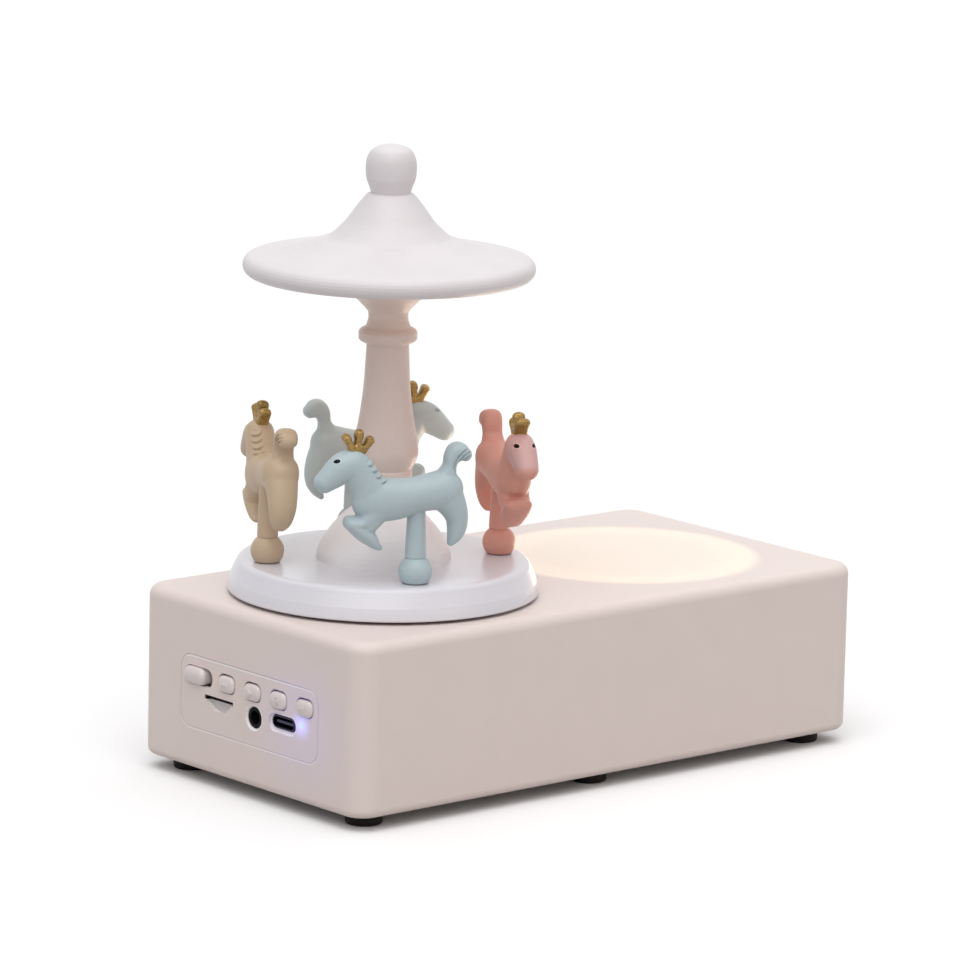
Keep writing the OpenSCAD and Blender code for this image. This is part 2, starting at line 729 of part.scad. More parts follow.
// Heights in the pillar's outline are stretched to fit pillar_h
pillar_k = pillar_h / 59;
pillar_foot = [[0, 0], [7.1, 0], [7.1, 1.2], [6.3, 2.4], [6.1, 4.6], [6.3, 6.4], [6.9, 7.2], [6.9, 8.8]];
pillar_vase = [[6.6, 9.4], [7.2, 10.2], [8, 12], [8.4, 14], [8, 17.4], [7.1, 21.8], [6.4, 27], [5.9, 32.2],
    [5.45, 41.2]];
pillar_collar = [[5.35, 41.6], [7.1, 42.5], [7.5, 43], [7.5, 44.8], [7.1, 45.4], [5.7, 46.2]];
pillar_head = [[5.15, 48], [5.2, 50], [6.9, 51.9], [8, 53.1], [10.2, 54.6], [12.6, 57], [13.4, 59]];

module pillar() color([0.93, 0.9, 0.89]) on_axis(dome_top) {
    rotate_extrude() polygon([for (p = concat(pillar_foot, smooth(pillar_vase, 3),
        pillar_collar, smooth(pillar_head, 2), [[0, 59]])) [p[0], p[1] * pillar_k]]);
    translate([0, 0, -socket_peg_l]) cylinder(r = socket_peg_r, h = socket_peg_l + 0.1);
    translate([0, 0, pillar_h - 0.1]) cylinder(r = socket_peg_r, h = socket_peg_l + 0.1);
}

// The canopy's upper outline, from the rim to the finial, as [radius, height]
canopy_k = canopy_h / 21.5;
canopy_line = smooth([[35.4, 5.1], [33, 5.6], [28, 6.3], [22, 7.8], [18, 9.3], [15.5, 10.3], [13.1, 12.4],
    [11.2, 14.4], [9.7, 16.5], [8.2, 18.5], [6.7, 20.4], [5.9, 21.2]], 2);

module canopy() color([0.95, 0.93, 0.93]) on_axis(canopy_z) difference() {
    rotate_extrude() polygon(concat([[0, 0]],
        arc(canopy_r - 2.6, 2.6, 2.6, -90, 62, 9),
        [for (p = canopy_line) [p[0], p[1] * canopy_k]],
        [[5, canopy_h], [0, canopy_h]]));
    translate([0, 0, -1]) difference() {
        cylinder(r = underplate_r + seat, h = 1 + underplate_t);
        translate([0, 0, -1]) cylinder(r = canopy_boss_r, h = 5);
    }
    // hollow between the rim and the middle boss
    rotate_extrude() polygon(concat([[canopy_boss_r, 1], [32, 1], [32, 5.4 * canopy_k - canopy_skin]],
        [for (p = canopy_line) if (p[0] < 32 && p[0] > canopy_boss_r + 0.3)
            [p[0], p[1] * canopy_k - canopy_skin]],
        [[canopy_boss_r, 15.5 * canopy_k]]));
    translate([0, 0, -1]) cylinder(r = socket_peg_r + seat, h = socket_peg_l + 1.1);
    translate([0, 0, canopy_h - 6]) cylinder(r = 2.5 + seat, h = 10);
}

module canopy_underplate() color([0.93, 0.9, 0.89]) on_axis(canopy_z) difference() {
    cylinder(r = underplate_r, h = underplate_t);
    translate([0, 0, -1]) cylinder(r = canopy_boss_r + seat, h = 5);
}

module finial() color([0.97, 0.95, 0.95]) on_axis(finial_z) {
    rotate_extrude() polygon(concat([[0, 0]], smooth([
        [5, 0], [5.6, 0.14 * finial_h], [6.25, 0.28 * finial_h], [6.5, 0.45 * finial_h],
        [6.45, 0.6 * finial_h], [6.1, 0.73 * finial_h], [5.1, 0.87 * finial_h],
        [3, 0.96 * finial_h], [0.01, finial_h]], 3), [[0, finial_h]]));
    translate([0, 0, -5.8]) cylinder(r = 2.5, h = 6);
}

// ---------------------------------------------------------------- horses

// A flattened ball in the horse's side view: p = [x, z, radius, half width]
module ball(p) {
    translate([p[0], 0, p[1]]) scale([1, p[3] / p[2], 1]) sphere(p[2], $fn = faceted_fn);
}

// Smooth skin over the balls of a chain, joined pair by pair
module chain(balls) {
    for (i = [0:len(balls) - 2]) hull() {
        ball(balls[i]);
        ball(balls[i + 1]);
    }
}

head = [[24.1, 26.5, 2.6, 3], [19.3, 29.6, 3.8, 3.7], [16.2, 31, 3.6, 3.6], [14.3, 27.4, 3.9, 3.7],
    [11.6, 22, 5.3, 4.4]];
trunk = [[11.6, 22, 5.3, 4.4], [5, 21.8, 5.2, 4.5], [0, 22.7, 4.4, 4.3], [-6.6, 23.3, 5.2, 4.5]];
tail = [[-7.6, 26.2, 2.6, 2.9], [-8.2, 29.7, 1.8, 2.6], [-9.6, 33.5, 2.4, 2.8], [-11.7, 32.6, 2, 2.7]];
hind_leg = [[-7.4, 22, 4, 4], [-9.8, 18.9, 3.1, 3.9], [-10.6, 15.4, 2.7, 3.6], [-10.2, 12.2, 2.1, 3],
    [-9.3, 10.3, 1, 2]];
fore_leg = [[11.5, 19.1, 3.6, 4], [17.1, 16.1, 1.7, 3.5], [12.6, 12.8, 2.1, 3.4], [10.1, 9.7, 1, 2.2]];
knee_fill = [[11.5, 19.1, 3.6, 4], [12.6, 13.2, 2.1, 3.4]];

// The left horse leans in and hangs a little nose down on its post
saddle_z = 22.7;
lean = [0, 0, 0, 3.4];
nod = [0, 0, 0, 4];

module settled(k) {
    rotate([lean[k], 0, 0]) translate([0, 0, saddle_z])
        rotate([0, nod[k], 0]) translate([0, 0, -saddle_z]) children();
}

module horse(k, tint) color(tint) at_horse(k) difference() {
    settled(k) {
        chain(head);
        chain(trunk);
        chain(tail);
        chain(hind_leg);
        chain(fore_leg);
        chain(knee_fill);
    }
    cylinder(r = post_r + loose, h = post_h);
    // flat seat for the crown
    settled(k) crown_place() cylinder(r = 6, h = 6);
}

// The ball sits on the turntable, and a peg under it goes through the plate
module post(k, tint) color(tint) at_horse(k) {
    rotate_extrude() polygon(concat([[0, 0]],
        arc(0, 0.7 * ball_r, ball_r, -44.4, 54, 9),
        smooth([[post_r, 1.6 * ball_r], [post_r - 0.15, 0.55 * post_h], [post_r - 0.35, 0.8 * post_h],
        [post_r - 0.4, post_h]], 2), [[0, post_h]]));
    translate([0, 0, -peg_l]) cylinder(r = peg_r, h = peg_l + 0.1);
}

module crown_place() {
    translate([crown_at[0], 0, crown_at[1]]) rotate([0, crown_tilt, 0]) children();
}

// A crown with a broad foot and three flat fingers, as balls in its own side view
crown_foot = [[-1.1, 1.3, 1.3, 1.7], [1.2, 1.3, 1.3, 1.8]];
crown_front_finger = [[1.3, 1.3, 1, 1.8], [3.3, 3.8, 0.85, 2.1]];
crown_middle_finger = [[0.1, 1.4, 1.2, 1.7], [0.1, 3.4, 0.85, 1.4], [0.1, 5.2, 1.1, 1.6]];
crown_rear_finger = [[-1.3, 1.3, 1, 1.6], [-2.9, 3.6, 1, 1.7]];

module crown(k) color([0.62, 0.47, 0.18]) at_horse(k) settled(k) crown_place() difference() {
    union() {
        chain(crown_foot);
        chain(crown_front_finger);
        chain(crown_middle_finger);
        chain(crown_rear_finger);
    }
    translate([0, 0, -5]) cylinder(r = 6, h = 5);
}

sky = [0.74, 0.82, 0.85];
pink = [0.78, 0.52, 0.48];
mist = [0.66, 0.7, 0.7];
cream = [0.83, 0.76, 0.64];

module horse_front() horse(0, sky);
module horse_right() horse(1, pink);
module horse_back() horse(2, mist);
module horse_left() horse(3, cream);
module post_front() post(0, sky);
module post_right() post(1, pink);
module post_back() post(2, mist);
module post_left() post(3, cream);
module crown_front() crown(0);
module crown_right() crown(1);
module crown_back() crown(2);
module crown_left() crown(3);

// ---------------------------------------------------------------- controls

module switch_knob() color([0.97, 0.95, 0.94]) {
    on_panel(knob_at, panel_x - knob_out)
        linear_extrude(wall + knob_out + loose) rounded_rect(knob_l, knob_h, knob_corner);
    on_panel([knob_at[0] - 0.65, knob_at[1]], panel_back + 0.15)
        linear_extrude(flange_t) rounded_rect(knob_l + 2.2, knob_h + 2 * flange_over + 0.6, 1);
    on_panel(knob_at, panel_back + 0.15 + flange_t - 0.1)
        linear_extrude(switch_face - panel_back + 0.6 - flange_t) square([lever_w, lever_w], center = true);
}

module button(k) {
    p = buttons_at[k];
    color([0.97, 0.95, 0.94]) {
        on_panel(p, panel_x - button_out)
            linear_extrude(wall + button_out + loose) rounded_rect(button_w, button_h, 1.7);
        on_panel(p, panel_back + 0.15)
            linear_extrude(flange_t)
                rounded_rect(button_w + 2 * flange_over, button_h + 2 * flange_over, 1);
        on_panel(p, panel_back + 0.15 + flange_t - 0.1)
            cylinder(r = switch_tip_r, h = switch_face - panel_back + 0.4 - flange_t);
        // raised sign on the cap
        on_panel(p, panel_x - button_out - 0.12) linear_extrude(0.2) children();
    }
}

module bar() square([2.2, 0.5], center = true);

module minus_button() button(0) bar();
module play_button() button(1) polygon([[0.9, -0.9], [0.9, 0.9], [-1, 0]]);
module plus_button() button(2) {
    bar();
    rotate(90) bar();
}
module light_button() button(3) bar();

base_shell();
control_panel();
bottom_cover();
rubber_feet();
cover_screws();
main_board();
board_chips();
board_screws();
usb_c_socket();
audio_jack();
card_socket();
status_led();
push_switches();
slide_switch();
battery_cell();
speaker_gasket();
speaker_frame();
speaker_cone();
speaker_magnet();
light_board();
light_leds();
light_reflector();
light_diffuser();
motor_can();
gear_plate();
plate_screws();
idler_pin();
idler_clip();
turntable_bush();
thrust_washer();
turntable();
centre_dome();
pillar();
canopy();
canopy_underplate();
finial();
drive_shaft();
drive_gear();
shaft_clip();
horse_front();
horse_right();
horse_back();
horse_left();
post_front();
post_right();
post_back();
post_left();
crown_front();
crown_right();
crown_back();
crown_left();
idler_gear();
motor_pinion();
motor_shaft();
switch_knob();
minus_button();
play_button();
plus_button();
light_button();
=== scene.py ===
import math

import bmesh
import bpy
from mathutils import Matrix, Vector
from mathutils.bvhtree import BVHTree


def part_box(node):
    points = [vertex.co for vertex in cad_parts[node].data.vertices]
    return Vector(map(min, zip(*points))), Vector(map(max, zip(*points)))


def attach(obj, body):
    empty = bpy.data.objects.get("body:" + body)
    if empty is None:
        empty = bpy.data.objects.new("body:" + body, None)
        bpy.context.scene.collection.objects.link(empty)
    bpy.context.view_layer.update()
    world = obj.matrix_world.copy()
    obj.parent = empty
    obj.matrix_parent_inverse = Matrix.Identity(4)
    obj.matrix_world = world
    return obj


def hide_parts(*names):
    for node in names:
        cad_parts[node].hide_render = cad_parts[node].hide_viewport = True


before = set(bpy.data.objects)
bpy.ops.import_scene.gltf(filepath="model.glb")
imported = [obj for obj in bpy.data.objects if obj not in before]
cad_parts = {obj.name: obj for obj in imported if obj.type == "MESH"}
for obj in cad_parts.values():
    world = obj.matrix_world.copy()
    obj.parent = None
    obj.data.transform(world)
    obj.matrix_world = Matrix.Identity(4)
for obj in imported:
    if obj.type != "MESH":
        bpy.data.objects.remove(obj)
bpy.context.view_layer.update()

# Camera: a long lens a little above the box, looking along its panel end. Its
# place is in millimetres, and the two directions are the lens' own axes.
MM = 0.001
LENS_MM, SENSOR_MM = 226.88, 36.0
CAMERA_AT = Vector((-1031.05, -1186.92, 391.35)) * MM
CAMERA_RIGHT = Vector((0.75959, -0.65, 0.02303)).normalized()
CAMERA_BACK = Vector((-0.64053, -0.74143, 0.20002)).normalized()

lens = bpy.data.cameras.new("camera")
lens.lens, lens.sensor_width, lens.clip_end = LENS_MM, SENSOR_MM, 20.0
camera = bpy.data.objects.new("camera", lens)
bpy.context.scene.collection.objects.link(camera)
camera_up = CAMERA_BACK.cross(CAMERA_RIGHT)
camera_right = camera_up.cross(CAMERA_BACK)
camera.matrix_world = Matrix((
    (camera_right.x, camera_up.x, CAMERA_BACK.x, CAMERA_AT.x),
    (camera_right.y, camera_up.y, CAMERA_BACK.y, CAMERA_AT.y),
    (camera_right.z, camera_up.z, CAMERA_BACK.z, CAMERA_AT.z),
    (0, 0, 0, 1)))
bpy.context.scene.camera = camera


# Base shell: one box of moulded white ABS with a fine satin skin. The top is
# thin over the night light, so the lamps below shine through as a soft disc.
# Along the lower edge of the opening for the control panel, a thin band of
# the wall is painted lighter as a highlight.
SHELL_WHITE = (0.8, 0.7, 0.662)
CLOUD_SCALE, CLOUD_DETAIL = 90.0, 4.0
CLOUD_EDGES = (0.3, 0.7)
CLOUD_DULL, SKIN_DULL = 0.06, 0.04
SKIN_DEPTH = 0.02 * MM
WALL_FACE = (0.5 * MM, 1.0 * MM)
SEAM_HIGHLIGHT_WHITE = (0.97, 0.9, 0.88)
LIP_OUTSIDE, LIP_FADE = (0.1 * MM, 0.5 * MM), 2.5 * MM
PANEL_FLANGE, PANEL_CORNER = 2.0 * MM, 3.88 * MM
PANEL_LOW, PANEL_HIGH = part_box("control_panel")


class Link:
    """A socket of a material's nodes. Arithmetic on it adds Math nodes."""

    def __init__(self, tree, socket=None):
        self.tree, self.socket = tree, socket

    def node(self, kind, settings=None, values=None, output=0):
        """Adds a node: first its settings, then its sockets' values or links."""
        made = self.tree.nodes.new("ShaderNode" + kind)
        for name, setting in (settings or {}).items():
            setattr(made, name, setting)
        for name, value in (values or {}).items():
            if isinstance(value, Link):
                self.tree.links.new(value.socket, made.inputs[name])
            else:
                made.inputs[name].default_value = value
        return Link(self.tree, made.outputs[output])

    def math(self, operation, first, second):
        return self.node("Math", {"operation": operation}, {0: first, 1: second})

    def __add__(self, other):
        return self.math("ADD", self, other)

    def __sub__(self, other):
        return self.math("SUBTRACT", self, other)

    def __rsub__(self, other):
        return self.math("SUBTRACT", other, self)

    def __mul__(self, other):
        return self.math("MULTIPLY", self, other)

    __radd__ = __add__
    __rmul__ = __mul__

    def ramp(self, low, high):
        """0 below low, 1 above high, smooth between them."""
        return self.node("MapRange", {"interpolation_type": "SMOOTHSTEP"},
                         {"Value": self, "From Min": low, "From Max": high})

    def band(self, low, high, soft=0.1 * MM):
        """1 between low and high metres, 0 outside them."""
        return self.ramp(low - soft, low + soft) - self.ramp(high - soft, high + soft)

    def mix(self, low, high):
        """low where this is 0, high where it is 1, as colours."""
        low, high = (colour if isinstance(colour, Link) else (*colour, 1) for colour in (low, high))
        return self.node("Mix", {"data_type": "RGBA"}, {0: self, 6: low, 7: high}, output=2)

    def add(self, colour):
        """The sum of two colours."""
        return self.node("Mix", {"data_type": "RGBA", "blend_type": "ADD"}, {0: 1.0, 6: self, 7: colour},
                         output=2)

    def far_from(self, spot):
        """How far this place on the object is from a spot, in metres."""
        return self.node("VectorMath", {"operation": "DISTANCE"}, {0: self, 1: spot}, output="Value")

    def axis(self, name):
        """The X, Y or Z of this place."""
        return self.node("SeparateXYZ", None, {0: self}, output=name)

    def feed(self, socket):
        """Goes into a socket of the shader."""
        self.tree.links.new(self.socket, socket)


def painted(name, colour, roughness, mottle=0.03, grain_mm=0.5, grain_depth=0.25, **sockets):
    """A moulded or painted plastic: faint clouds of colour over a fine skin.

    Gives back the material, its shader, a Link to the place on the object
    and the clouded colour, so that a section can add its own marks.
    """
    material = bpy.data.materials.new(name)
    material.use_nodes = True
    shader = material.node_tree.nodes["Principled BSDF"]
    for socket, value in sockets.items():
        shader.inputs[socket.replace("_", " ")].default_value = value
    paint = Link(material.node_tree)
    place = paint.node("TexCoord", output="Object")
    cloud = paint.node("TexNoise", None, {"Vector": place, "Scale": CLOUD_SCALE, "Detail": CLOUD_DETAIL})
    skin = paint.node("TexNoise", None, {"Vector": place, "Scale": 0.5 / (grain_mm * MM)})
    dark = [c * (1 - mottle) for c in colour]
    light = [min(c * (1 + mottle), 1) for c in colour]
    clouded = cloud.ramp(*CLOUD_EDGES).mix(dark, light)
    clouded.feed(shader.inputs["Base Color"])
    even = roughness - (CLOUD_DULL + SKIN_DULL) / 2
    (even + cloud * CLOUD_DULL + skin * SKIN_DULL).feed(shader.inputs["Roughness"])
    bump = {"Strength": grain_depth, "Distance": SKIN_DEPTH, "Height": skin}
    paint.node("Bump", None, bump).feed(shader.inputs["Normal"])
    return material, shader, place, clouded


def satin(*finish, **sockets):
    """The same plastic without marks of its own."""
    return painted(*finish, **sockets)[0]


def wear(material, *node_names):
    """Gives CAD nodes their finish."""
    for name in node_names:
        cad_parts[name].material_slots[0].material = material


def middle(node):
    """The middle of a CAD node's box."""
    low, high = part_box(node)
    return (low + high) / 2


def past_seam(place):
    """How far the place is outside the panel's rounded outline, in metres."""
    half = (PANEL_HIGH - PANEL_LOW) / 2
    inset = PANEL_FLANGE + PANEL_CORNER
    corner = (1.0, half.y - inset, half.z - inset)
    off = place.node("VectorMath", {"operation": "SUBTRACT"}, {0: place, 1: middle("control_panel")})
    off = off.node("VectorMath", {"operation": "ABSOLUTE"}, {0: off})
    off = off.node("VectorMath", {"operation": "SUBTRACT"}, {0: off, 1: corner})
    off = off.node("VectorMath", {"operation": "MAXIMUM"}, {0: off, 1: (0, 0, 0)})
    return off.node("VectorMath", {"operation": "LENGTH"}, {0: off}, output="Value") - PANEL_CORNER


# The status lamp's faint wide light falls on the shell and on the panel.
LED_AT = middle("status_led")
LED_AT.x = PANEL_LOW.x
WIDE_TINT, NO_LIGHT = (0.0, 0.0, 0.085), (0, 0, 0)
WIDE_NEAR, WIDE_FAR = 2.0 * MM, 24.0 * MM


def blue_cast(place):
    """The lamp's wide light on the white around it, as a colour."""
    return (1 - place.far_from(LED_AT).ramp(WIDE_NEAR, WIDE_FAR)).mix(NO_LIGHT, WIDE_TINT)


shell_white, shader, place, clouded = painted("shell_white", SHELL_WHITE, 0.46, mottle=0.008,
                                              Emission_Strength=1.0)
# Painted highlight: a thin lighter band just outside the panel's seam, low on the opening.
wall_face = 1 - (place.axis("X") - PANEL_LOW.x).ramp(*WALL_FACE)
opening_foot = PANEL_LOW.z + PANEL_FLANGE
low_side = 1 - place.axis("Z").ramp(opening_foot, opening_foot + LIP_FADE)
seam_highlight = past_seam(place).band(*LIP_OUTSIDE) * wall_face * low_side
seam_highlight.mix(clouded, SEAM_HIGHLIGHT_WHITE).feed(shader.inputs["Base Color"])

GLOW_COLOUR = (0.2, 0.17, 0.09)
GLOW_CENTRE = middle("light_diffuser") + Vector((0.5, -1.5, 0)) * MM
GLOW_CENTRE.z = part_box("base_shell")[1].z
GLOW_RADIUS, GLOW_SOFT = 35.2 * MM, 2.2 * MM
RIM_FROM, RIM_TO = GLOW_RADIUS * 0.6, GLOW_RADIUS * 0.95
GLOW_INNER, RIM_EXTRA = 0.75, 0.35

reach = place.far_from(GLOW_CENTRE)
lit = 1 - reach.ramp(GLOW_RADIUS - GLOW_SOFT, GLOW_RADIUS + GLOW_SOFT)
brightness = reach.ramp(RIM_FROM, RIM_TO) * RIM_EXTRA + GLOW_INNER
glow = (lit * brightness).mix(NO_LIGHT, GLOW_COLOUR)
glow.add(blue_cast(place)).feed(shader.inputs["Emission Color"])
wear(shell_white, "base_shell")


# Control panel: a separate moulding of the same white, let into the end wall
# with a fine seam. The rims of its openings and its edge along the seam have
# painted highlights, the holes are painted dark inside as shade, and the lamp
# beside the charging socket tints the plastic around it.
LED_TINT = (0.16, 0.2, 0.64)
TINT_NEAR, TINT_FAR = 0.4 * MM, 5.8 * MM
LIP_INSIDE = (-0.5 * MM, -0.05 * MM)
RIM_HIGHLIGHT_WHITE = (0.93, 0.89, 0.875)
HOLE_SHADE_BROWN = (0.05, 0.035, 0.035)
RIM_DEPTHS, HOLE_DEPTHS = (0.1 * MM, 0.35 * MM), (1.25 * MM, 1.6 * MM)
JACK_RING, JACK_SOFT = 3.45 * MM, 0.1 * MM
CARD_SLIT, SLIT_END = (-0.5 * MM, 1.15 * MM), (2.0 * MM, 3.0 * MM)

JACK_AT = middle("audio_jack")
JACK_AT.x = PANEL_LOW.x
card_z = middle("card_socket").z
panel_white, shader, place, clouded = painted("panel_white", SHELL_WHITE, 0.44, mottle=0.008,
                                              Emission_Strength=1.0)
depth, height = place.axis("X") - PANEL_LOW.x, place.axis("Z")
recess, deep_shade = depth.ramp(*RIM_DEPTHS), depth.ramp(*HOLE_DEPTHS)
ring = 1 - place.far_from(JACK_AT).ramp(JACK_RING - JACK_SOFT, JACK_RING + JACK_SOFT)
panel_top = PANEL_HIGH.z - PANEL_FLANGE
seam_highlight = past_seam(place).band(*LIP_INSIDE) * height.ramp(panel_top - LIP_FADE, panel_top)
slit_shade = (height - card_z).band(*CARD_SLIT) * place.axis("Y").ramp(*SLIT_END) * recess
# Painted highlights: the shallow rims, the ring round the jack and the band along the seam are lighter.
rim_highlights = (recess + ring + seam_highlight).ramp(0, 1).mix(clouded, RIM_HIGHLIGHT_WHITE)
# Painted shade: deep inside the holes and along the card slit the white turns dark brown.
(deep_shade + slit_shade).ramp(0, 1).mix(rim_highlights, HOLE_SHADE_BROWN).feed(shader.inputs["Base Color"])
tint = 1 - place.far_from(LED_AT).ramp(TINT_NEAR, TINT_FAR)
(tint * tint).mix(NO_LIGHT, LED_TINT).add(blue_cast(place)).feed(shader.inputs["Emission Color"])
wear(panel_white, "control_panel")


# Switch knob and push buttons: glossy white caps with a pillowed face, each
# in its own hole, with a flange behind the panel that stops it falling out.
# The signs on the buttons are moulded on, and stand a little proud.
KEY_WHITE = (0.75, 0.675, 0.66)
KNOB_SIZE = (8.3, 4.5, 2.2, 1.4)
BUTTON_SIZE = (6.4, 4.25, 1.9, 1.0)
KNOB_INSET = 0.45 * MM
CAP_BACK, FLANGE_BACK = 2.95 * MM, 3.95 * MM
FLANGE_OVER = 1.0 * MM
PILLOW_STEPS = 12
PILLOW_SIDE = 0.1
PILLOW_SPREAD, PILLOW_ROUND = 1.8, 2.2
PILLOW_TIP = 0.03 * MM
SHARP_ANGLE = math.radians(50)
SIGN_RISE = 0.3 * MM
SIGN_PROFILE = ((0.2, 1.0 * MM), (-0.5, 1.0 * MM), (-1.0, 0.93 * MM))
DASH = [(1.2, 0.33), (-1.2, 0.33), (-1.2, -0.33), (1.2, -0.33)]
PLAY = [(0.9, 1.05), (-1.1, 0.0), (0.9, -1.05)]
PLUS = [(1.2, 0.3), (0.3, 0.3), (0.3, 1.2), (-0.3, 1.2), (-0.3, 0.3), (-1.2, 0.3),
        (-1.2, -0.3), (-0.3, -0.3), (-0.3, -1.2), (0.3, -1.2), (0.3, -0.3), (1.2, -0.3)]

key_white = satin("key_white", KEY_WHITE, 0.3, mottle=0.02, grain_depth=0.08, Coat_Weight=0.25,
                  Coat_Roughness=0.2)


def rounded_outline(width, height, corner, inset, steps=7):
    """Points of a rounded rectangle, set in from its full outline."""
    radius, shrink = max(corner - inset, 0), max(inset - corner, 0)
    points = []
    for quarter, (sy, sz) in enumerate(((1, 1), (-1, 1), (-1, -1), (1, -1))):
        centre = Vector((sy * (width / 2 - corner - shrink), sz * (height / 2 - corner - shrink)))
        for step in range(steps + 1):
            turn = math.radians(90 * (quarter + step / steps))
            points.append(centre + radius * Vector((math.cos(turn), math.sin(turn))))
    return points


def add_skin(shape, rings):
    """Closes a skin over rings of equally many points."""
    made = [[shape.verts.new(point) for point in ring] for ring in rings]
    for lower, upper in zip(made, made[1:]):
        for i in range(len(lower)):
            j = (i + 1) % len(lower)
            shape.faces.new((lower[i], lower[j], upper[j], upper[i]))
    shape.faces.new(reversed(made[0]))
    shape.faces.new(made[-1])


def mesh_of(shape):
    """The mesh of closed skins, with their faces turned outwards."""
    bmesh.ops.recalc_face_normals(shape, faces=shape.faces)
    mesh = bpy.data.meshes.new("skin")
    shape.to_mesh(mesh)
    shape.free()
    return mesh


def add_piece(name, mesh, body, material):
    """Makes a smooth piece of a mesh, which rides on a body."""
    mesh.name = name
    mesh.materials.append(material)
    for polygon in mesh.polygons:
        polygon.use_smooth = True
    piece = bpy.data.objects.new(name, mesh)
    bpy.context.scene.collection.objects.link(piece)
    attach(piece, body)
    return piece


def key_cap(name, node, body, size, sign=None):
    """A cap of a width, height, corner and rise in mm, over its CAD node."""
    width, height, corner, rise = (number * MM for number in size)
    centre, face = middle(node), PANEL_LOW.x
    if node == "switch_knob":
        # its flange reaches further one way, so its box's middle isn't the cap's
        centre.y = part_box(node)[1].y - KNOB_INSET - width / 2
    shape = bmesh.new()

    def ring(x, inset, grow=0.0):
        outline = rounded_outline(width + 2 * grow, height + 2 * grow, corner + grow, inset)
        return [Vector((x, centre.y + p.x, centre.z + p.y)) for p in outline]

    rings = [ring(face + CAP_BACK, 0), ring(face - rise * PILLOW_SIDE, 0)]
    for step in range(1, PILLOW_STEPS + 1):
        inset = height / 2 * (step / PILLOW_STEPS) ** PILLOW_SPREAD
        bulge = (1 - (1 - 2 * inset / height) ** PILLOW_ROUND) ** 0.5
        x = face - rise * (PILLOW_SIDE + (1 - PILLOW_SIDE) * bulge)
        rings.append(ring(x, min(inset, height / 2 - PILLOW_TIP)))
    add_skin(shape, rings)
    add_skin(shape, [ring(face + depth, 0, FLANGE_OVER) for depth in (CAP_BACK, FLANGE_BACK)])
    if sign:
        tip = face - rise
        add_skin(shape, [[Vector((tip + SIGN_RISE * depth, centre.y + y * scale, centre.z + z * scale))
                          for y, z in sign] for depth, scale in SIGN_PROFILE])
    piece = add_piece(name, mesh_of(shape), body, key_white)
    piece.data.set_sharp_from_angle(angle=SHARP_ANGLE)
    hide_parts(node)


key_cap("knob_cap", "switch_knob", "power_switch", KNOB_SIZE)
for kind, sign in (("minus", DASH), ("play", PLAY), ("plus", PLUS), ("light", DASH)):
    key_cap(kind + "_cap", kind + "_button", kind + "_key", BUTTON_SIZE, sign)


# Sockets behind the panel: a black moulded headphone jack and card socket, a
# charging socket whose plating is painted dark and blue, as the shade in its
# mouth and the blue lamp's light, and the little blue lamp in its own hole.
def metal(name, colour, roughness, grain_mm=0.3, grain_depth=0.15):
    """Plated or drawn metal, with a faint uneven polish."""
    return satin(name, colour, roughness, 0.05, grain_mm, grain_depth, Metallic=1.0)


jack_black = satin("jack_black", (0.008, 0.008, 0.01), 0.28, mottle=0.1, grain_depth=0.1,
                   Specular_IOR_Level=0.05)
# Painted shade and light: the charging socket's plating is dark, with a blue cast from the status lamp.
dark_nickel = metal("dark_nickel", (0.05, 0.05, 0.085), 0.4)
drawn_steel = metal("drawn_steel", (0.5, 0.51, 0.53), 0.35)
led_lens = satin("led_lens", (0.4, 0.42, 0.5), 0.2, Emission_Color=(0.36, 0.46, 0.86, 1),
                 Emission_Strength=1.0)
wear(jack_black, "audio_jack", "card_socket")
wear(dark_nickel, "usb_c_socket")
wear(led_lens, "status_led")


# Underside: a grey-white cover held by six screws through the rubber feet's
# bosses, and the moulded black feet themselves.
cover_grey = satin("cover_grey", (0.66, 0.63, 0.61), 0.6, grain_mm=0.8, grain_depth=0.4)
foot_rubber = satin("foot_rubber", (0.014, 0.01, 0.009), 0.62, mottle=0.15, grain_depth=0.4,
                    Specular_IOR_Level=0.15)
screw_steel = metal("screw_steel", (0.55, 0.55, 0.56), 0.3)
wear(cover_grey, "bottom_cover")
wear(foot_rubber, "rubber_feet")
wear(screw_steel, "cover_screws", "plate_screws", "board_screws")


# Electronics: the green board with its parts, the switches behind the caps
# and the wrapped lithium cell in its cradle.
board_green = satin("board_green", (0.02, 0.12, 0.045), 0.4, mottle=0.12, grain_mm=1.5)
chip_black = satin("chip_black", (0.02, 0.02, 0.022), 0.5, mottle=0.1)
cell_wrap = satin("cell_wrap", (0.04, 0.14, 0.42), 0.35, mottle=0.06)
wear(board_green, "main_board")
wear(chip_black, "board_chips", "push_switches")
wear(drawn_steel, "slide_switch")
wear(cell_wrap, "battery_cell")


# Speaker: a pressed steel basket on a foam gasket, a black paper cone and a
# ferrite magnet.
foam_grey = satin("foam_grey", (0.05, 0.05, 0.052), 0.95, mottle=0.2, grain_depth=0.6)
paper_cone = satin("paper_cone", (0.02, 0.02, 0.022), 0.85, mottle=0.2, grain_mm=0.8, grain_depth=0.5)
ferrite = satin("ferrite", (0.05, 0.05, 0.055), 0.45, mottle=0.1)
wear(foam_grey, "speaker_gasket")
wear(drawn_steel, "speaker_frame")
wear(paper_cone, "speaker_cone")
wear(ferrite, "speaker_magnet")


# Night light: warm lamps on a white board, a white reflector cup and an opal
# sheet under the thin part of the shell's top.
board_white = satin("board_white", (0.78, 0.78, 0.76), 0.45)
opal_sheet = satin("opal_sheet", (0.9, 0.86, 0.78), 0.5)
led_warm = satin("led_warm", (0.9, 0.65, 0.2), 0.4, Emission_Color=(1.0, 0.78, 0.42, 1),
                 Emission_Strength=1.0)
wear(board_white, "light_board", "light_reflector")
wear(opal_sheet, "light_diffuser")
wear(led_warm, "light_leds")


